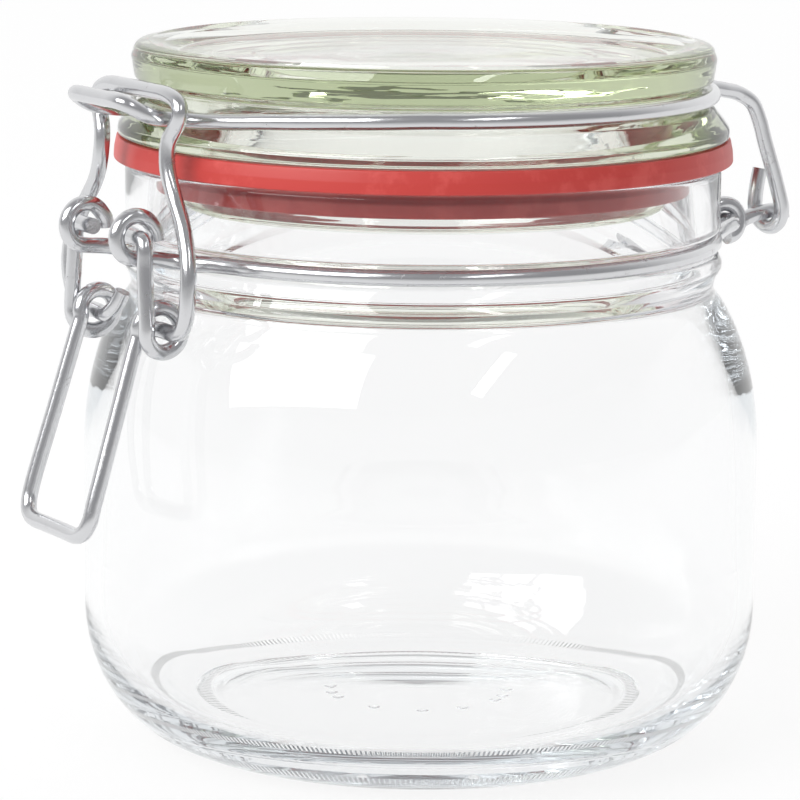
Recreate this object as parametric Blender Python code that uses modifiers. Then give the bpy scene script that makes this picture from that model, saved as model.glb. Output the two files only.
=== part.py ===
"""Clip top jar: an empty round glass jar, a glass lid on a rubber ring, and bent-wire closing gear.

The jar stands on the XY plane with its axis on Z. The latch is at -X and the lid's hinge at +X.
Every wire is symmetric about the plane y = 0, so each is described once, as half a wire.
Distances along the latch direction are measured outwards from the jar's axis.
"""
import math

import bpy
from mathutils import Vector

MM = 0.001

# glass jar
BODY_R = 50.0 * MM          # widest radius of the body
HEEL_R = 34.0 * MM          # radius where the round lower edge meets the table
HEEL_H = 20.0 * MM          # height of that round lower edge
SHOULDER_Z = 43.5 * MM      # where the shoulder starts to curve in
SHOULDER_RISE = 28.0 * MM
SHOULDER_IN = 15.0 * MM
WALL = 3.2 * MM
NECK_R = 43.8 * MM
BORE_R = 40.2 * MM          # inside of the neck
RIM_Z = 86.1 * MM           # top of the neck, where the rubber ring sits
NECK_FOOT_Z = 76.3 * MM     # lower edge of the neck's smooth band
BEAD_R = 44.2 * MM
BEAD_Z = 71.2 * MM
FLOOR_Z = 6.6 * MM          # inside of the base
PUSH_UP = 2.4 * MM          # how far the middle of the base is raised off the table

# rubber ring
GASKET_OUT = 45.4 * MM
GASKET_IN = 39.0 * MM
GASKET_LOW = 86.4 * MM
GASKET_HIGH = 89.35 * MM

# glass lid
LID_R = 42.8 * MM
LID_TOP = 103.3 * MM
LID_DISH = 1.6 * MM         # depth of the dish inside the raised rim
LID_FLANGE_R = 44.8 * MM
LID_FLANGE_LOW = 89.65 * MM
PLUG_R = 36.3 * MM
PLUG_LOW = 79.6 * MM
PLUG_WALL = 3.2 * MM
LID_CEILING = 97.7 * MM     # underside of the lid's middle

# wires
WIRE_R = 1.15 * MM
NECK_RING_R = 43.0 * MM
NECK_RING_Z = 74.5 * MM
LID_RING_R = 42.3 * MM
LID_RING_Z = 96.0 * MM

# latch: where the lever turns in the neck ring, and where the link turns in the lever
LEVER_OUT = 51.7 * MM
LEVER_Z = 78.5 * MM
LINK_OUT = 48.9 * MM
LINK_Z = 65.6 * MM
EYE_R = 2.95 * MM           # centre line of the neck ring's eyes
EYE_SIDE = 7.7 * MM
COIL_R = 3.05 * MM          # centre line of the lever's coils
COIL_OUTER = 11.5 * MM
COIL_INNER = 8.85 * MM
BAR_OUT = 47.1 * MM         # the link's cross bar, over the lid ring's nose
BAR_Z = 98.35 * MM

# hinge: the lid ring's hooks turn on two arms, wound round the neck ring's bar behind the neck
HINGE_OUT = 56.6 * MM
HINGE_Z = 73.25 * MM
HOOK_R = 3.1 * MM
HOOK_SIDE = 9.4 * MM
HOOK_LEAN = 0.5 * MM        # how far the hook's short side stands nearer the jar
BOW_OUT = 47.0 * MM         # the neck ring's straight bar behind the neck, inside the arms' coils
BOW_Z = 75.1 * MM
ARM_COIL_R = 2.65 * MM

TURN_STEPS = 32
GLASS = (0.93, 0.97, 0.94)


def clear_scene():
    for obj in list(bpy.data.objects):
        bpy.data.objects.remove(obj, do_unlink=True)


def make_material(name, colour, roughness, metallic=0.0, transmission=0.0):
    material = bpy.data.materials.new(name)
    material.use_nodes = True
    shader = material.node_tree.nodes["Principled BSDF"]
    shader.inputs["Base Color"].default_value = (*colour, 1.0)
    shader.inputs["Roughness"].default_value = roughness
    shader.inputs["Metallic"].default_value = metallic
    shader.inputs["Transmission Weight"].default_value = transmission
    return material


def elliptic_arc(centre, semi_axes, start_deg, end_deg, steps):
    """Points of an ellipse in the (radius, height) plane."""
    points = []
    for i in range(steps + 1):
        angle = math.radians(start_deg + (end_deg - start_deg) * i / steps)
        radius = centre[0] + semi_axes[0] * math.cos(angle)
        height = centre[1] + semi_axes[1] * math.sin(angle)
        points.append((radius, height))
    return points


def jar_profile():
    """Half section of the jar: inside from the middle of the floor up, then down the outside."""
    inner_heel = (BODY_R - WALL - 14.0 * MM, FLOOR_Z + 15.0 * MM)
    inside = [(0.0, FLOOR_Z)]
    inside += elliptic_arc(inner_heel, (14.0 * MM, 15.0 * MM), -90, 0, 5)
    inner_in = BODY_R - WALL - BORE_R
    inside += elliptic_arc((BORE_R, SHOULDER_Z), (inner_in, SHOULDER_RISE - 3.0 * MM), 0, 78, 5)
    inside += [(BORE_R, RIM_Z - 14.0 * MM), (BORE_R, RIM_Z - 0.8 * MM), (BORE_R + 0.8 * MM, RIM_Z)]
    outside = [(NECK_R - 0.9 * MM, RIM_Z), (NECK_R, RIM_Z - 1.0 * MM), (NECK_R, NECK_FOOT_Z + 0.5 * MM)]
    outside += [(NECK_R - 0.7 * MM, NECK_FOOT_Z)]
    outside += [(NECK_R - 2.5 * MM, NECK_RING_Z + 0.9 * MM), (NECK_R - 2.5 * MM, NECK_RING_Z - 0.9 * MM)]
    bead = (BEAD_R - 1.5 * MM, BEAD_Z)
    outside += elliptic_arc(bead, (1.5 * MM, 1.7 * MM), 75, -60, 4)
    shoulder = (BODY_R - SHOULDER_IN, SHOULDER_Z)
    outside += elliptic_arc(shoulder, (SHOULDER_IN, SHOULDER_RISE), 58, 0, 6)
    heel = (HEEL_R, HEEL_H)
    outside += elliptic_arc(heel, (BODY_R - HEEL_R, HEEL_H), 0, -84, 7)
    outside += [(HEEL_R, 0.0), (HEEL_R - 3.5 * MM, 0.0)]
    outside += [(HEEL_R - 7.0 * MM, PUSH_UP * 0.75), (0.0, PUSH_UP)]
    return inside + outside


def lid_profile():
    """Half section of the lid, from the middle of its top to the middle of its underside."""
    top = [(0.0, LID_TOP - LID_DISH), (36.0 * MM, LID_TOP - LID_DISH), (38.4 * MM, LID_TOP - 0.7 * MM)]
    top += [(40.2 * MM, LID_TOP), (41.6 * MM, LID_TOP - 0.3 * MM), (LID_R, LID_TOP - 1.7 * MM)]
    groove_r = LID_RING_R - WIRE_R - 0.45 * MM
    side = [(LID_R - 0.2 * MM, LID_TOP - 4.0 * MM), (LID_R - 0.45 * MM, LID_RING_Z + 2.0 * MM)]
    side += [(groove_r, LID_RING_Z + 1.4 * MM), (groove_r, LID_RING_Z - 1.3 * MM)]
    side += [(LID_R - 1.2 * MM, LID_RING_Z - 1.7 * MM), (LID_R + 0.2 * MM, LID_RING_Z - 2.4 * MM)]
    side += [(LID_FLANGE_R, LID_RING_Z - 4.6 * MM), (LID_FLANGE_R, LID_FLANGE_LOW + 0.4 * MM)]
    side += [(LID_FLANGE_R - 0.5 * MM, LID_FLANGE_LOW)]
    plug = [(PLUG_R + 1.9 * MM, LID_FLANGE_LOW), (PLUG_R + 1.0 * MM, LID_FLANGE_LOW - 2.0 * MM)]
    plug += [(PLUG_R, PLUG_LOW + 1.2 * MM), (PLUG_R - 1.0 * MM, PLUG_LOW)]
    plug += [(PLUG_R - PLUG_WALL + 0.8 * MM, PLUG_LOW), (PLUG_R - PLUG_WALL, PLUG_LOW + 1.0 * MM)]
    plug += [(PLUG_R - PLUG_WALL - 1.6 * MM, LID_CEILING - 1.2 * MM)]
    plug += [(PLUG_R - PLUG_WALL - 2.8 * MM, LID_CEILING), (0.0, LID_CEILING)]
    return top + side + plug


def gasket_profile():
    """Closed section of the rubber ring: a flat band whose outer edge leans out a little."""
    high = GASKET_HIGH
    low = GASKET_LOW
    lean = 0.4 * MM
    return [(GASKET_IN, high), (GASKET_OUT - lean, high), (GASKET_OUT, low), (GASKET_IN, low)]


def turned(name, profile, material, closed=False):
    """A solid of revolution about Z from a half section."""
    mesh = bpy.data.meshes.new(name)
    vertices = [(radius, 0.0, height) for radius, height in profile]
    edges = [(i, i + 1) for i in range(len(vertices) - 1)]
    if closed:
        edges.append((len(vertices) - 1, 0))
    mesh.from_pydata(vertices, edges, [])
    obj = bpy.data.objects.new(name, mesh)
    part_collection.objects.link(obj)
    screw = obj.modifiers.new("turn", "SCREW")
    screw.axis = "Z"
    screw.steps = TURN_STEPS
    screw.render_steps = TURN_STEPS
    screw.use_merge_vertices = True
    screw.merge_threshold = 0.00001
    screw.use_smooth_shade = True
    obj.data.materials.append(material)
    return obj


def smooth_path(points, per_span):
    """Points on a Catmull-Rom curve through the given ones, per_span for each stretch."""
    path = [Vector(p) for p in points]
    ends = [path[0] * 2 - path[1]] + path + [path[-1] * 2 - path[-2]]
    out = []
    for i in range(1, len(ends) - 2):
        a, b, c, d = ends[i - 1:i + 3]
        for k in range(per_span):
            t = k / per_span
            bend = a * (2 * t * t - t - t ** 3) + b * (2 - 5 * t * t + 3 * t ** 3)
            bend += c * (t + 4 * t * t - 3 * t ** 3) + d * (t ** 3 - t * t)
            out.append(bend / 2)
    out.append(path[-1])
    return out


def ring_arc(radius, height, start_deg, end_deg, steps, back=False):
    """Points on a level circle round the jar. Angles start at the latch, or at the hinge if back."""
    sign = 1.0 if back else -1.0
    points = []
    for i in range(steps + 1):
        angle = math.radians(start_deg + (end_deg - start_deg) * i / steps)
        points.append((sign * radius * math.cos(angle), radius * math.sin(angle), height))
    return points


def turns(out, height, radius, start_deg, end_deg, side_from, side_to, steps, back=False):
    """Points of a coil whose axis lies across the jar, at a distance out from the jar's axis."""
    sign = 1.0 if back else -1.0
    points = []
    for i in range(steps + 1):
        share = i / steps
        angle = math.radians(start_deg + (end_deg - start_deg) * share)
        side = side_from + (side_to - side_from) * share
        points.append((sign * (out + radius * math.cos(angle)), side, height + radius * math.sin(angle)))
    return points


def latch_points(rows):
    """Rows of (out, side, height) in millimetres on the latch side."""
    return [(-out * MM, side * MM, height * MM) for out, side, height in rows]


def hinge_points(rows):
    """Rows of (out, side, height) in millimetres on the hinge side."""
    return [(out * MM, side * MM, height * MM) for out, side, height in rows]


def both_sides(half):
    """Whole wire from half of one, whose last point lies near the plane y = 0."""
    mirrored = [(x, -y, z) for x, y, z in reversed(half)]
    return list(half) + mirrored


def wire(name, points, origin, material, parent=None):
    """A round wire along the points, with its cut ends closed and its origin on its pivot."""
    curve = bpy.data.curves.new(name, "CURVE")
    curve.dimensions = "3D"
    curve.bevel_depth = WIRE_R
    curve.bevel_resolution = 2
    curve.use_fill_caps = True
    spline = curve.splines.new("POLY")
    spline.points.add(len(points) - 1)
    for point, place in zip(spline.points, points):
        point.co = (*(Vector(place) - Vector(origin)), 1.0)
    obj = bpy.data.objects.new(name, curve)
    part_collection.objects.link(obj)
    obj.location = origin
    obj.data.materials.append(material)
    if parent:
        keep_place(obj, parent)
    return obj


def keep_place(obj, parent):
    obj.parent = parent
    obj.matrix_parent_inverse = parent.matrix_world.inverted()


def neck_ring_half():
    """From the cut end of one eye, round the eye, along the groove and out to the bar at the back."""
    eye = latch_points([(48.35, 7.7, 78.2)])
    eye += turns(LEVER_OUT, LEVER_Z, EYE_R, 160, -90, EYE_SIDE, EYE_SIDE, 12)
    lead = latch_points([(48.6, 7.7, 75.2), (45.6, 8.2, 74.7), (42.6, 10.2, 74.5)])
    ring = ring_arc(NECK_RING_R, NECK_RING_Z, 19, 150, 18)
    bow_rows = [(40.3, 18.6, 74.5), (43.4, 16.2, 74.8), (45.7, 14.7, 75.0), (46.8, 13.2, 75.1)]
    bow = hinge_points(bow_rows + [(BOW_OUT / MM, 11.4, BOW_Z / MM), (BOW_OUT / MM, 0.6, BOW_Z / MM)])
    return eye + lead + ring + bow


def lid_ring_half():
    """From the cut end of one hook, up its leg, round the lid's groove and out to the nose."""
    side = HOOK_SIDE / MM
    top = hinge_points([(56.9, side - 3.1, 81.9), (56.3, side - 3.1, 78.8)])
    hook = []
    for i in range(9):
        angle = math.radians(180 + 180 * i / 8)
        across = HOOK_SIDE + HOOK_R * math.cos(angle)
        out = HINGE_OUT - HOOK_LEAN * max(0.0, -math.cos(angle))
        hook.append((out, across, HINGE_Z + HOOK_R + HOOK_R * math.sin(angle)))
    leg_rows = [(55.4, 12.5, 80.4), (53.0, 12.5, 87.0), (51.9, 12.5, 90.2), (50.4, 12.5, 92.9)]
    leg_rows += [(47.8, 12.6, 94.4), (44.8, 13.3, 95.1)]
    leg = smooth_path(hinge_points(leg_rows), 2)
    ring = ring_arc(LID_RING_R, LID_RING_Z, 20.5, 121, 14, back=True)
    dip_rows = [(50, 42.4, 95.8), (40, 42.6, 95.55), (34, 42.9, 95.35), (28, 43.2, 95.15)]
    dip_rows += [(21, 43.5, 94.8)]
    dip = [(-out * MM * math.cos(math.radians(angle)), out * MM * math.sin(math.radians(angle)), height * MM)
           for angle, out, height in dip_rows]
    nose_rows = [(42.7, 11.2, 94.6), (44.4, 9.0, 94.6), (46.4, 8.4, 94.8), (48.6, 8.3, 95.1)]
    nose_rows += [(50.5, 8.3, 95.7), (52.2, 8.0, 96.65), (53.3, 7.2, 97.3), (53.6, 5.8, 97.45)]
    nose_rows += [(53.6, 0.6, 97.45)]
    return top + hook + leg + ring + dip + latch_points(nose_rows)


def lever_half():
    """From the cut end in the neck ring's eye, down the short arm, round the coil, to the handle."""
    inner = EYE_SIDE - 2.6 * MM
    pin = [(-LEVER_OUT, inner, LEVER_Z), (-LEVER_OUT, EYE_SIDE + 1.5 * MM, LEVER_Z)]
    arm_rows = [(51.7, 10.1, 78.3), (51.75, 10.6, 77.0), (51.8, 10.7, 75.0), (51.9, 11.1, 71.0)]
    arm = smooth_path(latch_points(arm_rows), 2)
    coil = turns(LINK_OUT, LINK_Z, COIL_R, 6, -370, COIL_OUTER, COIL_INNER, 17)
    handle_rows = [(52.4, 8.85, 63.5), (59.4, 9.6, 41.4), (60.0, 9.5, 39.2), (60.5, 8.6, 37.6)]
    handle_rows += [(60.7, 7.0, 36.9), (60.7, 0.6, 36.8)]
    return pin + arm + coil + latch_points(handle_rows)


def link_half():
    """From the cut end inside the lever's coil, out through it and up the waved arm to the bar."""
    end = latch_points([(47.7, 3.9, 69.0), (48.3, 4.8, 67.0)])
    pin = latch_points([(48.9, 6.6, 65.6), (48.9, 13.8, 65.6)])
    arm_rows = [(48.9, 15.8, 66.2), (49.0, 17.4, 68.2), (49.1, 18.1, 71.2), (48.8, 17.8, 75.2)]
    arm_rows += [(48.1, 15.0, 80.4), (47.8, 11.6, 84.8), (47.9, 10.0, 88.6), (47.7, 10.1, 92.0)]
    arm_rows += [(47.3, 11.7, 94.3), (47.2, 12.5, 95.9), (47.1, 11.8, 97.3), (47.1, 9.2, 98.2)]
    arm_rows += [(BAR_OUT / MM, 4.5, BAR_Z / MM), (BAR_OUT / MM, 0.6, BAR_Z / MM)]
    return end + pin + smooth_path(latch_points(arm_rows[:-1]), 2) + latch_points(arm_rows[-1:])


def hinge_arm_points(side):
    """One arm behind the neck: a coil on the neck ring's bar, a straight run and a downturned end."""
    coil = turns(BOW_OUT, BOW_Z, ARM_COIL_R, -95, 285, 11.9 * MM, HOOK_SIDE, 16, back=True)
    rows = [(50.2, 9.4, 73.9), (52.3, 9.4, 74.9), (54.4, 9.4, 75.4), (HINGE_OUT / MM, 9.4, 75.7)]
    rows += [(57.9, 9.4, 75.65), (58.8, 9.4, 75.3), (59.05, 9.4, 74.5)]
    return [(x, side * y, z) for x, y, z in coil + hinge_points(rows)]


clear_scene()
part_collection = bpy.data.collections.new("clip_top_jar")
bpy.context.scene.collection.children.link(part_collection)

glass = make_material("glass", GLASS, 0.02, transmission=1.0)
rubber = make_material("rubber", (0.72, 0.03, 0.03), 0.45)
steel = make_material("steel", (0.66, 0.67, 0.69), 0.22, metallic=1.0)

hinge = bpy.data.objects.new("lid_hinge_axis", None)
part_collection.objects.link(hinge)
hinge.location = (HINGE_OUT, 0.0, HINGE_Z)
bpy.context.view_layer.update()

turned("jar_body", jar_profile(), glass)
lid = turned("lid", lid_profile(), glass)
gasket = turned("gasket", gasket_profile(), rubber, closed=True)
keep_place(lid, hinge)
keep_place(gasket, hinge)

wire("neck_ring", both_sides(neck_ring_half()), (0.0, 0.0, NECK_RING_Z), steel)
wire("lid_ring", both_sides(lid_ring_half()), tuple(hinge.location), steel, parent=hinge)
lever_pivot = (-LEVER_OUT, 0.0, LEVER_Z)
link_pivot = (-LINK_OUT, 0.0, LINK_Z)
lever = wire("lever", both_sides(lever_half()), lever_pivot, steel)
bpy.context.view_layer.update()
wire("link", both_sides(link_half()), link_pivot, steel, parent=lever)
for name, side in (("hinge_arm_left", -1.0), ("hinge_arm_right", 1.0)):
    wire(name, hinge_arm_points(side), (0.0, 0.0, NECK_RING_Z), steel)
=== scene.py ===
# %% [markdown]
# # A clip top jar in glass, rubber and wire
# The jar is an empty round glass jar. A thick glass lid lies on a red rubber ring, and bent
# wires hold it: a ring round the neck, a ring round the lid, a link, a lever and two short
# arms at the back. This lesson models each of them at high resolution over a plain frame of
# the same object, so that glass bends light the way real walls do.
# Everything is in metres. The jar stands on the floor with its axis on Z, the latch is at -X
# and the lid's hinge at +X.

# %% The frame that every piece is placed on
import math

import bpy
from mathutils import Matrix, Vector


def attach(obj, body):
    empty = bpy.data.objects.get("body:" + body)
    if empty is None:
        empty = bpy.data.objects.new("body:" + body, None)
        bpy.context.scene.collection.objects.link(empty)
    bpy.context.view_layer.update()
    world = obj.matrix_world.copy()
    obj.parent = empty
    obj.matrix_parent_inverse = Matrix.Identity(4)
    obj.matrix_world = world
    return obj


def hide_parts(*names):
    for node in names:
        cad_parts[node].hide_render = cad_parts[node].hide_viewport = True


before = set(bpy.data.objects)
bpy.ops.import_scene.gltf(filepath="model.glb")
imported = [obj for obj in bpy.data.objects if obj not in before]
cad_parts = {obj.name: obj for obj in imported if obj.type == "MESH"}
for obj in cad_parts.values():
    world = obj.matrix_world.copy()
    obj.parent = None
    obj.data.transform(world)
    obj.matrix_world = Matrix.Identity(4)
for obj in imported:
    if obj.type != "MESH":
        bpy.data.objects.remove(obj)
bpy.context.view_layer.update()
MM = 0.001

# %% [markdown]
# ## Points first
# Pressed glass has no sharp edges: every corner of its section is a small arc. So a section
# is written as a few corners, each with its own rounding, and a helper turns each corner into
# an arc that touches both of its lines. Large soft curves, such as the jar's shoulder, are
# parts of ellipses, which take two radii and two angles.

# %% Helpers for sections
def ellipse_arc(centre, radii, start_deg, end_deg, steps):
    """Corner points along part of an ellipse, in millimetres, with no rounding of their own."""
    points = []
    for i in range(steps + 1):
        angle = math.radians(start_deg + (end_deg - start_deg) * i / steps)
        x = centre[0] + radii[0] * math.cos(angle)
        z = centre[1] + radii[1] * math.sin(angle)
        points.append((x, z, 0.0))
    return points


def rounded(corners, steps=6):
    """Section points from corners (radius, height, rounding), each rounding drawn as an arc."""
    points = []
    for i, (x, z, rounding) in enumerate(corners):
        here = Vector((x, z))
        if rounding == 0 or i in (0, len(corners) - 1):
            points.append(here)
            continue
        before = Vector(corners[i - 1][:2]) - here
        after = Vector(corners[i + 1][:2]) - here
        opening = before.angle(after)
        room = 0.48 * min(before.length, after.length)
        cut = min(rounding / math.tan(opening / 2), room)
        start, end = here + before.normalized() * cut, here + after.normalized() * cut
        for k in range(steps + 1):
            t = k / steps
            points.append(start * (1 - t) ** 2 + here * 2 * t * (1 - t) + end * t ** 2)
    return [(p.x * MM, p.y * MM) for p in points]


print("helpers ready")

# %% [markdown]
# ## Turning a section
# A jar, a lid and a rubber ring are bodies of revolution. A section could be turned by a Screw
# modifier, but the Spin operator does the same by hand and leaves a plain mesh at once. A tiny
# plane is merged to one point, that point is extruded along the section, and the line is spun
# round Z. Points on the axis fall together, so doubles are merged afterwards, and only then are
# the normals recalculated: the skin is one closed surface, so they all turn outwards.

# %% A helper that spins a section
def spin_section(name, section, segments, closed=False):
    """One closed solid from a half section of (radius, height) points in metres."""
    bpy.ops.object.select_all(action="DESELECT")
    first = section[0]
    bpy.ops.mesh.primitive_plane_add(size=0.001, location=(first[0], 0, first[1]))
    piece = bpy.context.object
    piece.name = piece.data.name = name
    bpy.ops.object.mode_set(mode="EDIT")
    bpy.ops.mesh.select_mode(type="VERT")
    bpy.ops.mesh.merge(type="CENTER")
    route = list(section[1:]) + ([first] if closed else [])
    here = first
    for there in route:
        step = (there[0] - here[0], 0, there[1] - here[1])
        bpy.ops.mesh.extrude_vertices_move(TRANSFORM_OT_translate={"value": step})
        here = there
    bpy.ops.mesh.select_all(action="SELECT")
    bpy.ops.mesh.remove_doubles(threshold=1e-7)
    bpy.ops.mesh.select_all(action="SELECT")
    bpy.ops.mesh.spin(steps=segments, angle=2 * math.pi, center=(0, 0, 0), axis=(0, 0, 1))
    bpy.ops.mesh.select_all(action="SELECT")
    bpy.ops.mesh.remove_doubles(threshold=1e-6)
    bpy.ops.mesh.normals_make_consistent(inside=False)
    bpy.ops.object.mode_set(mode="OBJECT")
    bpy.ops.object.transform_apply(location=True, rotation=True, scale=True)
    bpy.ops.object.shade_smooth()
    return piece


def count(piece):
    """Triangles and size of a piece, printed as it is made."""
    piece.data.calc_loop_triangles()
    size = [round(v / MM, 1) for v in piece.dimensions]
    print(piece.name, len(piece.data.loop_triangles), "triangles,", size, "mm")


print("spin ready")

# %% [markdown]
# ## The glass jar
# The jar is blown and pressed, with a wall of about 3 mm, a heavier base and a neck that is
# straight inside. Its section runs from the middle of the floor up the inside, over the rim,
# and down the outside: neck band, groove for the neck wire, a round bead under it, shoulder,
# side and the large round heel. The base is pushed up, so the jar stands on a narrow ring. The
# wall is thinnest just above the heel, and there its two faces curve together, so that the
# glass hardly shifts what is seen through it.

# %% The jar's section
inside = [(0.0, 5.4, 0.0), (8.0, 5.4, 0.0), (16.0, 5.35, 0.0), (24.0, 5.25, 0.0), (31.6, 5.15, 1.5)]
inside += [(36.6, 5.75, 5.0)] + ellipse_arc((37.0, 20.2), (10.2, 14.2), -83, 0, 24)
inside += [(47.2, 22.5, 0.0), (47.0, 28.0, 8.0)]
inside += ellipse_arc((40.2, 43.5), (6.6, 25.0), 0, 80, 16)
inside += [(40.2, 73.0, 2.0), (40.2, 86.1, 1.5)]
neck = [(43.8, 86.1, 1.2), (43.8, 76.3, 0.6), (41.6, 75.5, 0.5), (41.6, 73.4, 0.5)]
bead = [(43.5, 72.9, 0.9), (44.3, 71.2, 1.4), (43.3, 69.4, 1.2), (42.9, 67.6, 3.0)]
shoulder = ellipse_arc((35.0, 43.5), (15.0, 28.0), 56, 0, 22)
heel = ellipse_arc((34.0, 20.0), (16.0, 20.0), 0, -86, 26)
stand = [(34.6, 0.0, 0.3), (34.2, 0.0, 0.0), (33.4, 0.0, 0.0), (32.6, 0.0, 0.0), (31.9, 0.1, 0.4)]
for out in [29, 26, 23, 20, 17.5, 16] + [14.6 - 0.2 * i for i in range(13)] + [10, 7.5, 5, 3, 1.5, 0]:
    stand.append((out, 0.7 + 1.5 * (1 - (out / 29) ** 1.3), 0.0))
jar_section = rounded(inside + neck + bead + shoulder + heel + stand)
print(len(jar_section), "section points")

# %% Spin the jar
JAR_SEGMENTS = 384
jar = spin_section("glass_jar", jar_section, JAR_SEGMENTS)
count(jar)

# %% [markdown]
# ## What the mould leaves on the base
# The narrow ring that the jar stands on is knurled, so that hot glass never touches the belt all
# over: every second line of its mesh is lifted, which makes fine radial ribs. Inside it, nine
# small moulding dots stand on a circle. Each is one vertex, pushed down with proportional
# editing, so the glass round it follows in a soft bump.

# %% Knurl and dots
RIB_LIFT = 0.35 * MM
DOT_CIRCLE = 13.4 * MM
DOT_ANGLES = (144, 161, 174, 209, 241, 268, 298, 310, 327)
DOT_DROP = 0.45 * MM
DOT_SIZE = 0.75 * MM
bpy.ops.object.select_all(action="DESELECT")
bpy.context.view_layer.objects.active = jar
jar.select_set(True)
bpy.ops.object.mode_set(mode="EDIT")
bpy.ops.mesh.select_mode(type="VERT")
bpy.ops.mesh.select_all(action="DESELECT")
bpy.ops.object.mode_set(mode="OBJECT")
ribs = 0
for vertex in jar.data.vertices:
    x, y, z = vertex.co / MM
    line = round(math.degrees(math.atan2(y, x)) * JAR_SEGMENTS / 360)
    vertex.select = 32.3 < math.hypot(x, y) < 34.3 and z < 0.1 and line % 2 == 0
    ribs += vertex.select
bpy.ops.object.mode_set(mode="EDIT")
bpy.ops.transform.translate(value=(0, 0, RIB_LIFT))
bpy.ops.mesh.select_all(action="DESELECT")
bpy.ops.object.mode_set(mode="OBJECT")
for angle in DOT_ANGLES:
    spot = Vector((DOT_CIRCLE, 0, 2.05 * MM))
    spot.rotate(Matrix.Rotation(math.radians(angle), 3, "Z"))
    nearest = min(jar.data.vertices, key=lambda vertex: (vertex.co - spot).length_squared)
    nearest.select = True
    bpy.ops.object.mode_set(mode="EDIT")
    bpy.ops.transform.translate(value=(0, 0, -DOT_DROP), use_proportional_edit=True,
                                proportional_edit_falloff="SPHERE", proportional_size=DOT_SIZE)
    bpy.ops.mesh.select_all(action="DESELECT")
    bpy.ops.object.mode_set(mode="OBJECT")
bpy.ops.object.shade_smooth()
print(ribs, "rib points and", len(DOT_ANGLES), "dots")

# %% [markdown]
# ## Wires
# Each wire is one length of round steel bent by a machine, so a curve with a round bevel is
# the natural way to draw it. A soft curve through a few points, laid out as evenly spaced points
# on a plain spline, goes smoothly through them, as a wire does through a bend. All the closing
# wires are the same on both sides, so only half of each is written and the other half is its mirror image.

# %% Helpers for wires
WIRE_R = 1.15 * MM


def ring_arc(radius, height, start_deg, end_deg, steps, side=-1.0):
    """Points of a level circle round the jar, in millimetres, from the latch (-1) or hinge (1)."""
    points = []
    for i in range(steps + 1):
        angle = math.radians(start_deg + (end_deg - start_deg) * i / steps)
        points.append((side * radius * math.cos(angle), radius * math.sin(angle), height))
    return points


def coil(out, height, radius, angles, across, steps, side=-1.0):
    """Points of a coil whose axis lies across the jar, in millimetres."""
    points = []
    for i in range(steps + 1):
        share = i / steps
        angle = math.radians(angles[0] + (angles[1] - angles[0]) * share)
        y = across[0] + (across[1] - across[0]) * share
        points.append((side * (out + radius * math.cos(angle)), y, height + radius * math.sin(angle)))
    return points


def at_latch(rows):
    """Points from rows of (out, across, height) on the latch side, in millimetres."""
    return [(-out, across, height) for out, across, height in rows]


def at_hinge(rows):
    """Points from rows of (out, across, height) on the hinge side, in millimetres."""
    return [(out, across, height) for out, across, height in rows]


def both_sides(half):
    """A whole wire from half of one that ends near the plane between the two sides."""
    return list(half) + [(x, -y, z) for x, y, z in reversed(half)]


def smooth_run(points, spacing=0.55):
    """Evenly spaced points, in metres, along a soft curve through the given ones."""
    knots = [Vector(p) for p in points]
    knots = [knots[0] * 2 - knots[1]] + knots + [knots[-1] * 2 - knots[-2]]
    run = []
    for i in range(1, len(knots) - 2):
        a, b, c, d = knots[i - 1:i + 3]
        t1 = (b - a).length ** 0.5
        t2 = t1 + (c - b).length ** 0.5
        t3 = t2 + (d - c).length ** 0.5
        pieces = max(2, round((c - b).length / spacing))
        for k in range(pieces):
            t = t1 + (t2 - t1) * k / pieces
            ab = a * ((t1 - t) / t1) + b * (t / t1)
            bc = b * ((t2 - t) / (t2 - t1)) + c * ((t - t1) / (t2 - t1))
            cd = c * ((t3 - t) / (t3 - t2)) + d * ((t - t2) / (t3 - t2))
            abc = ab * ((t2 - t) / t2) + bc * (t / t2)
            bcd = bc * ((t3 - t) / (t3 - t1)) + cd * ((t - t1) / (t3 - t1))
            run.append(abc * ((t2 - t) / (t2 - t1)) + bcd * ((t - t1) / (t2 - t1)))
    run.append(knots[-2])
    return [p * MM for p in run]


print("wire helpers ready")

# %% A helper that draws a wire
def bent_wire(name, points):
    """A round wire along the points, with cut ends whose edges are slightly broken."""
    run = smooth_run(points)
    bpy.ops.object.select_all(action="DESELECT")
    bpy.ops.curve.primitive_nurbs_path_add(location=(0, 0, 0))
    piece = bpy.context.object
    piece.name = piece.data.name = name
    shape = piece.data
    shape.splines.clear()
    line = shape.splines.new("POLY")
    line.points.add(len(run) - 1)
    for point, place in zip(line.points, run):
        point.co = (*place, 1.0)
    shape.bevel_depth = WIRE_R
    shape.bevel_resolution = 5
    shape.use_fill_caps = True
    bpy.ops.object.convert(target="MESH")
    piece = bpy.context.object
    bpy.ops.object.mode_set(mode="EDIT")
    bpy.ops.mesh.select_all(action="SELECT")
    bpy.ops.mesh.remove_doubles(threshold=1e-6)
    bpy.ops.mesh.normals_make_consistent(inside=False)
    bpy.ops.mesh.select_all(action="DESELECT")
    bpy.ops.object.mode_set(mode="OBJECT")
    for face in piece.data.polygons:
        face.select = len(face.vertices) > 4
    bpy.ops.object.mode_set(mode="EDIT")
    bpy.ops.mesh.select_mode(type="FACE")
    bpy.ops.mesh.bevel(offset=0.22 * MM, segments=2)
    bpy.ops.object.mode_set(mode="OBJECT")
    bpy.ops.object.shade_smooth_by_angle(angle=math.radians(50))
    return piece


# %% [markdown]
# ### The neck ring and its eyes
# One wire lies in the groove under the neck band. At the latch both its ends lift off the
# glass and roll into open eyes, in which the lever turns. At the back it leaves the groove and
# makes a short straight bar, on which the two hinge arms are wound.

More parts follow.
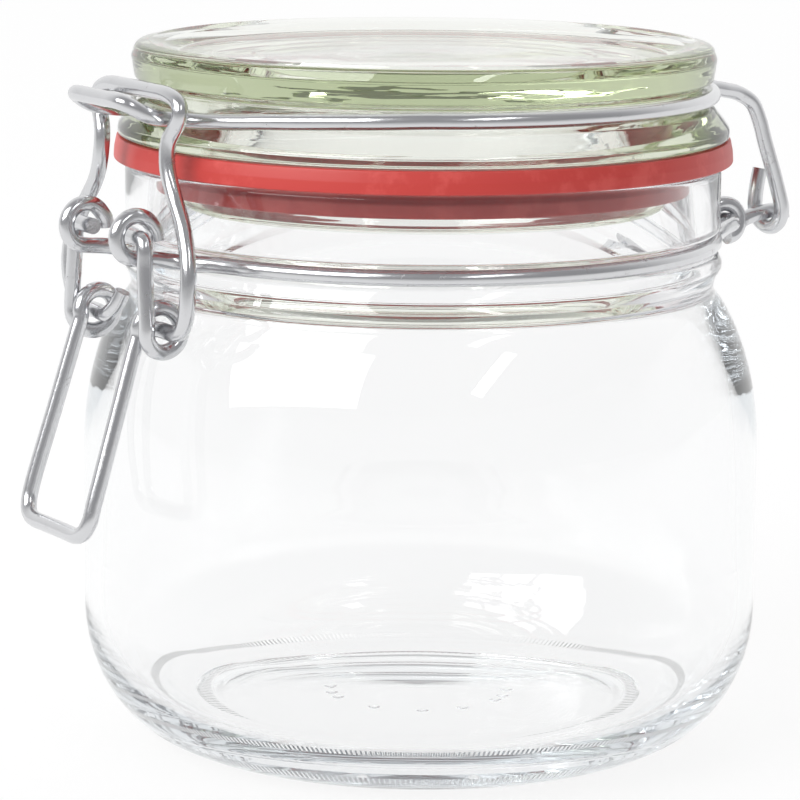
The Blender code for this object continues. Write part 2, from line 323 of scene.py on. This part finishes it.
# %% Bend the neck ring
neck_half = at_latch([(48.3, 7.7, 77.9), (48.5, 7.7, 79.2)])
neck_half += coil(51.65, 78.5, 3.0, (150, -90), (7.7, 7.7), 17)
neck_half += at_latch([(48.6, 7.7, 75.2), (45.6, 8.2, 74.7), (42.6, 10.2, 74.5)])
neck_half += ring_arc(43.0, 74.5, 19, 150, 30)
neck_half += at_hinge([(40.3, 18.6, 74.5), (43.4, 16.2, 74.8), (45.7, 14.7, 75.0), (46.8, 13.2, 75.1)])
neck_half += at_hinge([(47.0, 11.4, 75.1), (47.0, 6.0, 75.1), (47.0, 0.6, 75.1)])
neck_ring = bent_wire("neck_wire", both_sides(neck_half))
count(neck_ring)

# %% [markdown]
# ### The lid ring
# The second ring sits in the groove of the lid. At the back its legs drop and end in hooks
# that hang on the two arms. At the latch it leaves the glass as a nose, two wires and a raised
# outer bar, over which the link is pulled.

# %% Bend the lid ring
hook = []
for i in range(13):
    turn = math.radians(180 + 180 * i / 12)
    out = 56.6 - 0.5 * max(0.0, -math.cos(turn))
    hook.append((out, 9.4 + 3.1 * math.cos(turn), 76.35 + 3.1 * math.sin(turn)))
lid_half = at_hinge([(56.9, 6.3, 81.9), (56.3, 6.3, 78.8)]) + hook
lid_half += [(55.4, 12.5, 80.4), (53.0, 12.5, 87.0), (51.9, 12.5, 90.2), (50.4, 12.5, 92.9)]
lid_half += [(47.8, 12.6, 94.4), (44.8, 13.3, 95.1)]
lid_half += ring_arc(42.3, 96.0, 20.5, 121, 24, side=1.0)
for angle, out, height in ((50, 42.4, 95.8), (40, 42.6, 95.55), (34, 42.9, 95.35), (28, 43.2, 95.15),
                           (21, 43.5, 94.8)):
    lid_half += ring_arc(out, height, angle, angle, 1)[:1]
lid_half += at_latch([(42.7, 11.2, 94.6), (44.4, 9.0, 94.6), (46.4, 8.4, 94.8), (48.6, 8.3, 95.1)])
lid_half += at_latch([(50.5, 8.3, 95.7), (52.2, 8.0, 96.65), (53.3, 7.2, 97.3), (53.6, 5.8, 97.45)])
lid_half += at_latch([(53.6, 3.0, 97.45), (53.6, 0.6, 97.45)])
lid_ring = bent_wire("lid_wire", both_sides(lid_half))
count(lid_ring)

# %% [markdown]
# ### The lever
# The lever's two ends turn in the neck ring's eyes. Below them each side makes one full coil,
# which holds the link, and the long arms run down to the handle that a thumb pushes.

# %% Bend the lever
lever_half = at_latch([(51.7, 5.1, 78.5), (51.7, 7.5, 78.5), (51.7, 9.2, 78.5), (51.7, 10.1, 78.25)])
lever_half += at_latch([(51.75, 10.6, 77.2), (51.8, 10.7, 75.0), (51.9, 11.1, 71.0)])
lever_half += coil(48.9, 65.6, 3.05, (6, -370), (11.5, 8.85), 26)
lever_half += at_latch([(52.4, 8.85, 63.5), (55.9, 9.2, 52.4), (59.4, 9.6, 41.4), (60.0, 9.5, 39.2)])
lever_half += at_latch([(60.5, 8.6, 37.6), (60.7, 7.0, 36.9), (60.7, 3.0, 36.8), (60.7, 0.6, 36.8)])
lever = bent_wire("lever_wire", both_sides(lever_half))
count(lever)

# %% [markdown]
# ### The link
# The link hangs in the lever's coils on two bent-in ends. Its arms are waved like an hourglass
# and meet in the cross bar that lies over the nose.

# %% Bend the link
link_half = at_latch([(47.7, 3.9, 69.0), (48.3, 4.8, 67.0), (48.9, 6.6, 65.6), (48.9, 10.2, 65.6)])
link_half += at_latch([(48.9, 13.8, 65.6), (48.9, 15.8, 66.2), (49.0, 17.4, 68.2), (49.1, 18.1, 71.2)])
link_half += at_latch([(48.8, 17.8, 75.2), (48.1, 15.0, 80.4), (47.8, 11.6, 84.8), (47.9, 10.0, 88.6)])
link_half += at_latch([(47.7, 10.1, 92.0), (47.3, 11.7, 94.3), (47.2, 12.5, 95.9), (47.1, 11.8, 97.3)])
link_half += at_latch([(47.1, 9.2, 98.2), (47.1, 4.5, 98.35), (47.1, 0.6, 98.35)])
link = bent_wire("link_wire", both_sides(link_half))
count(link)

# %% [markdown]
# ### The two arms at the back
# Each arm is wound once round the neck ring's bar, with its coil a little looser than the wire
# in it, and runs out under the hook of the lid ring to a downturned end.

# %% Bend the arms
arm_wires = []
for name, side in (("near_arm", -1.0), ("far_arm", 1.0)):
    turns = coil(47.0, 75.1, 2.45, (-95, 285), (11.9, 9.4), 26, side=1.0)
    run = at_hinge([(50.2, 9.4, 74.0), (52.3, 9.4, 74.9), (54.4, 9.4, 75.4), (56.6, 9.4, 75.7)])
    run += at_hinge([(57.9, 9.4, 75.65), (58.8, 9.4, 75.3), (59.05, 9.4, 74.5)])
    arm = bent_wire(name, [(x, side * y, z) for x, y, z in turns + run])
    arm_wires.append(arm)
    count(arm)

# %% [markdown]
# ## The rubber ring
# A flat red ring is squeezed between the rim and the lid. Its outer edge bulges a little where
# the squeeze lets it, and the lid's plug presses its inner edge down into the neck, where it
# shows through the glass as a second, darker band.

# %% Spin the rubber ring
ring_corners = [(38.7, 89.5, 0.5), (42.0, 89.55, 0.0), (45.0, 89.5, 0.35), (45.35, 87.8, 1.5)]
ring_corners += [(45.45, 86.15, 0.35), (42.0, 86.2, 0.0), (39.5, 86.1, 0.8), (38.6, 84.7, 0.8)]
ring_corners += [(39.7, 84.3, 0.5), (39.6, 82.3, 0.5), (38.4, 82.1, 0.5), (38.0, 85.5, 2.0)]
rubber_ring = spin_section("rubber_ring", rounded(ring_corners + [ring_corners[0]])[:-1], 256, closed=True)
count(rubber_ring)

# %% [markdown]
# ## The glass lid
# The lid is pressed in one piece: a raised rim round a shallow dish, a groove for the lid wire,
# a wider flange on the rubber ring, and a hollow plug that reaches down into the neck.

# %% The lid's section and its spin
top = [(0.0, 101.75, 0.0), (12.0, 101.7, 0.0), (24.0, 101.6, 0.0), (35.6, 101.6, 1.5)]
top += [(38.2, 102.8, 1.2), (40.2, 103.3, 1.2), (42.2, 103.0, 1.2), (42.85, 101.2, 1.2)]
side = [(42.6, 99.5, 1.0), (42.4, 98.1, 0.5), (40.75, 97.4, 0.5), (40.75, 94.7, 0.5)]
side += [(41.6, 94.35, 0.4), (42.6, 94.0, 0.8), (43.8, 92.5, 1.0), (44.85, 91.1, 1.4), (44.85, 89.7, 0.5)]
plug = [(38.4, 89.7, 0.8), (37.3, 87.6, 1.0), (36.3, 79.6, 1.3), (33.0, 79.6, 1.3)]
plug += [(31.4, 97.2, 1.2), (25.4, 97.6, 0.6), (24.6, 98.0, 0.6), (12.0, 98.05, 0.0), (0.0, 98.1, 0.0)]
lid = spin_section("glass_lid", rounded(top + side + plug), 320)
count(lid)

# %% [markdown]
# ## Finishes shared by several pieces
# Each effect is a small node group with its own numbers, so that pieces can share it. Slow
# waves are the uneven skin of pressed glass and moulded rubber. Drawn lines are the long grooves
# that the die leaves on wire, and they follow the wire through its own UV map, where U goes
# round the wire and V along it. The knurled heel is a band of fine upright ticks just above the
# ring that the jar stands on. Scuffs are soft patches of handling wear.

# %% A helper that starts a node group
def new_group(name, inputs, outputs):
    """A shader node group with float inputs and float outputs, and its two end nodes."""
    group = bpy.data.node_groups.new(name, "ShaderNodeTree")
    for label, value in inputs.items():
        socket = group.interface.new_socket(label, in_out="INPUT", socket_type="NodeSocketFloat")
        socket.default_value = value
    for label in outputs:
        group.interface.new_socket(label, in_out="OUTPUT", socket_type="NodeSocketFloat")
    start, end = group.nodes.new("NodeGroupInput"), group.nodes.new("NodeGroupOutput")
    print("group", name, "with", len(inputs), "inputs")
    return group, start, end


# %% Slow waves
waves, start, end = new_group("slow_waves", {"Scale": 40.0, "Upright": 0.5}, ["Height"])
place = waves.nodes.new("ShaderNodeTexCoord")
parts = waves.nodes.new("ShaderNodeSeparateXYZ")
squash = waves.nodes.new("ShaderNodeMath")
squash.operation = "MULTIPLY"
join = waves.nodes.new("ShaderNodeCombineXYZ")
cloud = waves.nodes.new("ShaderNodeTexNoise")
cloud.inputs["Detail"].default_value = 2.5
cloud.inputs["Roughness"].default_value = 0.45
waves.links.new(place.outputs["Object"], parts.inputs[0])
waves.links.new(parts.outputs["X"], join.inputs["X"])
waves.links.new(parts.outputs["Y"], join.inputs["Y"])
waves.links.new(parts.outputs["Z"], squash.inputs[0])
waves.links.new(start.outputs["Upright"], squash.inputs[1])
waves.links.new(squash.outputs[0], join.inputs["Z"])
waves.links.new(join.outputs[0], cloud.inputs["Vector"])
waves.links.new(start.outputs["Scale"], cloud.inputs["Scale"])
waves.links.new(cloud.outputs["Fac"], end.inputs["Height"])

# %% Drawn lines
lines, start, end = new_group("drawn_lines", {"Round": 14.0, "Along": 1.6}, ["Height"])
place = lines.nodes.new("ShaderNodeTexCoord")
parts = lines.nodes.new("ShaderNodeSeparateXYZ")
turn_u = lines.nodes.new("ShaderNodeMath")
turn_u.operation = "MULTIPLY"
turn_u.inputs[1].default_value = 2 * math.pi
sine, cosine = lines.nodes.new("ShaderNodeMath"), lines.nodes.new("ShaderNodeMath")
sine.operation, cosine.operation = "SINE", "COSINE"
stretch = lines.nodes.new("ShaderNodeMath")
stretch.operation = "MULTIPLY"
join = lines.nodes.new("ShaderNodeCombineXYZ")
grain = lines.nodes.new("ShaderNodeTexNoise")
grain.inputs["Detail"].default_value = 3.0
grain.inputs["Roughness"].default_value = 0.65
lines.links.new(place.outputs["UV"], parts.inputs[0])
lines.links.new(parts.outputs["X"], turn_u.inputs[0])
lines.links.new(turn_u.outputs[0], sine.inputs[0])
lines.links.new(turn_u.outputs[0], cosine.inputs[0])
lines.links.new(parts.outputs["Y"], stretch.inputs[0])
lines.links.new(start.outputs["Along"], stretch.inputs[1])
lines.links.new(sine.outputs[0], join.inputs["X"])
lines.links.new(cosine.outputs[0], join.inputs["Y"])
lines.links.new(stretch.outputs[0], join.inputs["Z"])
lines.links.new(join.outputs[0], grain.inputs["Vector"])
lines.links.new(start.outputs["Round"], grain.inputs["Scale"])
lines.links.new(grain.outputs["Fac"], end.inputs["Height"])

# %% Knurled heel
knurls, start, end = new_group("knurled_heel", {"Ticks": 360.0, "Low": 0.0015, "High": 0.004}, ["Height"])
place = knurls.nodes.new("ShaderNodeTexCoord")
parts = knurls.nodes.new("ShaderNodeSeparateXYZ")
around, tick, wave = [knurls.nodes.new("ShaderNodeMath") for _ in range(3)]
around.operation, tick.operation, wave.operation = "ARCTAN2", "MULTIPLY", "SINE"
climb, fall, rows = [knurls.nodes.new("ShaderNodeMath") for _ in range(3)]
climb.operation, fall.operation, rows.operation = "GREATER_THAN", "LESS_THAN", "MULTIPLY"
height = knurls.nodes.new("ShaderNodeMath")
height.operation = "MULTIPLY"
knurls.links.new(place.outputs["Object"], parts.inputs[0])
knurls.links.new(parts.outputs["Y"], around.inputs[0])
knurls.links.new(parts.outputs["X"], around.inputs[1])
knurls.links.new(around.outputs[0], tick.inputs[0])
knurls.links.new(start.outputs["Ticks"], tick.inputs[1])
knurls.links.new(tick.outputs[0], wave.inputs[0])
knurls.links.new(parts.outputs["Z"], climb.inputs[0])
knurls.links.new(start.outputs["Low"], climb.inputs[1])
knurls.links.new(parts.outputs["Z"], fall.inputs[0])
knurls.links.new(start.outputs["High"], fall.inputs[1])
knurls.links.new(climb.outputs[0], rows.inputs[0])
knurls.links.new(fall.outputs[0], rows.inputs[1])
knurls.links.new(wave.outputs[0], height.inputs[0])
knurls.links.new(rows.outputs[0], height.inputs[1])
knurls.links.new(height.outputs[0], end.inputs["Height"])

# %% Scuffs
scuffs, start, end = new_group("scuffs", {"Scale": 300.0, "Cover": 0.4}, ["Mask"])
place = scuffs.nodes.new("ShaderNodeTexCoord")
patches = scuffs.nodes.new("ShaderNodeTexNoise")
patches.inputs["Detail"].default_value = 6.0
patches.inputs["Roughness"].default_value = 0.6
edge = scuffs.nodes.new("ShaderNodeMapRange")
edge.interpolation_type = "SMOOTHSTEP"
low = scuffs.nodes.new("ShaderNodeMath")
low.operation = "SUBTRACT"
low.inputs[0].default_value = 0.9
high = scuffs.nodes.new("ShaderNodeMath")
high.operation = "ADD"
high.inputs[1].default_value = 0.14
scuffs.links.new(place.outputs["Object"], patches.inputs["Vector"])
scuffs.links.new(start.outputs["Scale"], patches.inputs["Scale"])
scuffs.links.new(start.outputs["Cover"], low.inputs[1])
scuffs.links.new(low.outputs[0], high.inputs[0])
scuffs.links.new(patches.outputs["Fac"], edge.inputs["Value"])
scuffs.links.new(low.outputs[0], edge.inputs["From Min"])
scuffs.links.new(high.outputs[0], edge.inputs["From Max"])
scuffs.links.new(edge.outputs["Result"], end.inputs["Mask"])

# %% [markdown]
# ## Glass
# Clear glass is a Principled surface with full transmission and no roughness. Its colour is not
# on the surface but in the depth, so it comes from Volume Absorption: a thin wall stays clear
# and a long way through the lid's rim turns olive green. Pressed glass is never quite even, so
# the slow waves bend its surface by a hair. Jar and lid are pressed from different glass.

# %% Helpers for materials
def surface(name, colour, roughness, **values):
    """A material whose Principled surface has these plain values."""
    made = bpy.data.materials.new(name)
    made.use_nodes = True
    shader = made.node_tree.nodes["Principled BSDF"]
    shader.inputs["Base Color"].default_value = (*colour, 1.0)
    shader.inputs["Roughness"].default_value = roughness
    for key, value in values.items():
        shader.inputs[key.replace("_", " ")].default_value = value
    return made, shader


def place_group(made, group, **values):
    """One use of a node group in a material."""
    node = made.node_tree.nodes.new("ShaderNodeGroup")
    node.node_tree = group
    for key, value in values.items():
        node.inputs[key].default_value = value
    return node


def add_bump(made, shader, height, distance, strength=1.0, under=None):
    """A Bump node that turns a height into a normal, on top of another one if given."""
    bump = made.node_tree.nodes.new("ShaderNodeBump")
    bump.inputs["Strength"].default_value = strength
    bump.inputs["Distance"].default_value = distance
    made.node_tree.links.new(height, bump.inputs["Height"])
    if under:
        made.node_tree.links.new(under, bump.inputs["Normal"])
    made.node_tree.links.new(bump.outputs["Normal"], shader.inputs["Normal"])
    return bump.outputs["Normal"]


def blend_by(tree, mask, first, second):
    """A colour that goes from the first to the second as a mask goes from 0 to 1."""
    blend = tree.nodes.new("ShaderNodeMix")
    blend.data_type = "RGBA"
    blend.inputs["A"].default_value = (*first, 1.0)
    blend.inputs["B"].default_value = (*second, 1.0)
    tree.links.new(mask, blend.inputs["Factor"])
    return blend.outputs["Result"]


def soft_step(tree, value, low, high):
    """A mask that goes softly from 0 to 1 while a value goes from low to high."""
    step = tree.nodes.new("ShaderNodeMapRange")
    step.interpolation_type = "SMOOTHSTEP"
    step.inputs["From Min"].default_value = low
    step.inputs["From Max"].default_value = high
    tree.links.new(value, step.inputs["Value"])
    return step.outputs["Result"]


def tint(made, colour, density):
    """Colour in the depth of the glass."""
    nodes, links = made.node_tree.nodes, made.node_tree.links
    depth = nodes.new("ShaderNodeVolumeAbsorption")
    depth.inputs["Color"].default_value = (*colour, 1.0)
    depth.inputs["Density"].default_value = density
    links.new(depth.outputs["Volume"], nodes["Material Output"].inputs["Volume"])


# %% Glass of the jar and of the lid
jar_glass, shader = surface("jar_glass", (1, 1, 1), 0.0, Transmission_Weight=1.0, IOR=1.5)
tint(jar_glass, (0.8, 0.83, 0.85), 18.0)
ripple = place_group(jar_glass, waves, Scale=55.0, Upright=0.35)
skin = add_bump(jar_glass, shader, ripple.outputs["Height"], 0.05 * MM)
knurl = place_group(jar_glass, knurls, Ticks=360.0, Low=0.0024, High=0.0036)
add_bump(jar_glass, shader, knurl.outputs["Height"], 0.05 * MM, 1.0, skin)

lid_glass, shader = surface("lid_glass", (1, 1, 1), 0.0, Transmission_Weight=1.0, IOR=1.5)
tint(lid_glass, (0.66, 0.72, 0.5), 25.0)
ripple = place_group(lid_glass, waves, Scale=36.0, Upright=10.0)
add_bump(lid_glass, shader, ripple.outputs["Height"], 0.1 * MM)
print("glass", jar_glass.name, lid_glass.name)

# %% [markdown]
# ## Rubber
# Moulded rubber has a satin skin. Its red is a little lighter where it is dusty and rubbed, and
# its edge is faintly uneven.

# %% Red rubber
FRESH_RED = (0.56, 0.05, 0.042)
RUBBED_RED = (0.64, 0.08, 0.068)
rubber, shader = surface("red_rubber", FRESH_RED, 0.42)
wear = place_group(rubber, scuffs, Scale=150.0, Cover=0.4)
red = blend_by(rubber.node_tree, wear.outputs["Mask"], FRESH_RED, RUBBED_RED)
rubber.node_tree.links.new(red, shader.inputs["Base Color"])
ripple = place_group(rubber, waves, Scale=160.0, Upright=0.3)
skin = add_bump(rubber, shader, ripple.outputs["Height"], 0.12 * MM)
speckle = rubber.node_tree.nodes.new("ShaderNodeTexNoise")
speckle.inputs["Scale"].default_value = 2600.0
place = rubber.node_tree.nodes.new("ShaderNodeTexCoord")
rubber.node_tree.links.new(place.outputs["Object"], speckle.inputs["Vector"])
add_bump(rubber, shader, speckle.outputs["Fac"], 0.01 * MM, 0.6, skin)
print("rubber", rubber.name)

# %% [markdown]
# ## Steel wire
# Drawn steel wire is bright, but not a mirror. The long lines from the die blur its highlights
# along its length, and a few dull patches show where it was bent and rubbed.

# %% Steel
BRIGHT_STEEL = (0.68, 0.685, 0.7)
DULL_STEEL = (0.54, 0.54, 0.55)
steel, shader = surface("steel_wire", BRIGHT_STEEL, 0.24, Metallic=1.0)
wear = place_group(steel, scuffs, Scale=700.0, Cover=0.3)
grey = blend_by(steel.node_tree, wear.outputs["Mask"], BRIGHT_STEEL, DULL_STEEL)
rough = steel.node_tree.nodes.new("ShaderNodeMapRange")
rough.inputs["To Min"].default_value = 0.2
rough.inputs["To Max"].default_value = 0.36
steel.node_tree.links.new(grey, shader.inputs["Base Color"])
steel.node_tree.links.new(wear.outputs["Mask"], rough.inputs["Value"])
steel.node_tree.links.new(rough.outputs["Result"], shader.inputs["Roughness"])
die = place_group(steel, lines, Round=7.0, Along=0.8)
add_bump(steel, shader, die.outputs["Height"], 0.03 * MM)
print("steel", steel.name)


def finish_with(piece, made):
    """The piece's only material."""
    piece.data.materials.clear()
    piece.data.materials.append(made)


finish_with(jar, jar_glass)
finish_with(lid, lid_glass)
finish_with(rubber_ring, rubber)
for wire in (neck_ring, lid_ring, lever, link, *arm_wires):
    finish_with(wire, steel)

# %% Bodies
for piece, body, slot, node in (
    (jar, "jar", "glass", "jar_body"), (lid, "lid", "lid_glass", "lid"),
    (rubber_ring, "lid", "rubber", "gasket"), (neck_ring, "jar", "wire", "neck_ring"),
    (lid_ring, "lid", "wire", "lid_ring"), (lever, "lever", "wire", "lever"),
    (link, "link", "wire", "link"), (arm_wires[0], "jar", "wire", "hinge_arm_left"),
    (arm_wires[1], "jar", "wire", "hinge_arm_right"),
):
    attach(piece, body)
    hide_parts(node)

# %% [markdown]
# ## Floor, light and camera
# Clear glass is lit as a bright field: everything behind it is white, and the side of the
# camera is darker, so that edges draw themselves as grey lines and bright windows show as
# highlights on the shoulder. The world's colour goes from white to grey towards the camera's
# side, and two softboxes stand where the shoulder mirrors them.

# %% Floor that glows with painted light
NEAR_SIDE = (-0.522, -0.853, 0.0)
bpy.ops.object.select_all(action="DESELECT")
bpy.ops.mesh.primitive_plane_add(size=8.0, location=(0, 0, -0.0003))
floor = bpy.context.object
floor.name = "floor"
# Painted light: the floor's own colour is dark, and it glows white near and behind the jar and darker grey
# towards the camera's side, so that no shadow shows on it.
floor_glow, shader = surface("glowing_floor", (0.1, 0.1, 0.1), 0.9, Emission_Strength=1.0)
nodes, links = floor_glow.node_tree.nodes, floor_glow.node_tree.links
place = nodes.new("ShaderNodeTexCoord")
towards = nodes.new("ShaderNodeVectorMath")
towards.operation = "DOT_PRODUCT"
towards.inputs[1].default_value = NEAR_SIDE
away = nodes.new("ShaderNodeVectorMath")
away.operation = "LENGTH"
reach = nodes.new("ShaderNodeMath")
reach.operation = "MULTIPLY_ADD"
reach.inputs[1].default_value = 0.35
links.new(place.outputs["Object"], towards.inputs[0])
links.new(place.outputs["Object"], away.inputs[0])
links.new(away.outputs["Value"], reach.inputs[0])
links.new(towards.outputs["Value"], reach.inputs[2])
fade = soft_step(floor_glow.node_tree, reach.outputs[0], 0.1, 0.6)
tones = blend_by(floor_glow.node_tree, fade, (0.87, 0.87, 0.87), (0.4, 0.4, 0.4))
links.new(tones, shader.inputs["Emission Color"])
finish_with(floor, floor_glow)
print("floor", floor.name)

# %% World
world = bpy.data.worlds.new("studio")
bpy.context.scene.world = world
world.use_nodes = True
nodes, links = world.node_tree.nodes, world.node_tree.links
sky = nodes["Background"]
way = nodes.new("ShaderNodeTexCoord")
facing = nodes.new("ShaderNodeVectorMath")
facing.operation = "DOT_PRODUCT"
facing.inputs[1].default_value = NEAR_SIDE
links.new(way.outputs["Generated"], facing.inputs[0])
fade = soft_step(world.node_tree, facing.outputs["Value"], -0.85, 0.35)
tones = blend_by(world.node_tree, fade, (1.0, 1.0, 1.0), (0.36, 0.36, 0.37))
links.new(tones, sky.inputs["Color"])
sky.inputs["Strength"].default_value = 1.0
print("world", world.name)

# %% Softboxes
def softbox(name, place, size, roll_deg, power):
    """An area light that faces the jar's shoulder, rolled about its own axis."""
    bpy.ops.object.light_add(type="AREA", location=place)
    lamp = bpy.context.object
    lamp.name = lamp.data.name = name
    lamp.data.shape = "RECTANGLE"
    lamp.data.size, lamp.data.size_y = size
    lamp.data.energy = power
    facing = (Vector((0, 0, 0.06)) - Vector(place)).to_track_quat("-Z", "Y").to_matrix()
    lamp.rotation_euler = (facing @ Matrix.Rotation(math.radians(roll_deg), 3, "Z")).to_euler()
    print(name, size, "m", power, "W")


softbox("left_window", (-0.985, -0.16, 0.702), (1.0, 0.62), 12, 11.0)
softbox("right_strip", (-0.05, -1.025, 0.855), (0.09, 0.6), -38, 1.4)

# %% Camera
bpy.ops.object.camera_add(location=(-0.2990, -0.4827, 0.1543))
camera = bpy.context.object
look = Vector((0.5133, 0.8389, -0.1812))
turn = look.to_track_quat("-Z", "Y").to_matrix()
camera.rotation_euler = (turn @ Matrix.Rotation(math.radians(0.5), 3, "Z")).to_euler()
camera.data.lens = 174.6
camera.data.clip_start = 0.01
bpy.context.scene.camera = camera
bpy.context.scene.view_settings.view_transform = "Standard"
paths = bpy.context.scene.cycles
paths.max_bounces = paths.glossy_bounces = paths.transmission_bounces = 32
print("camera", camera.data.lens, "mm")
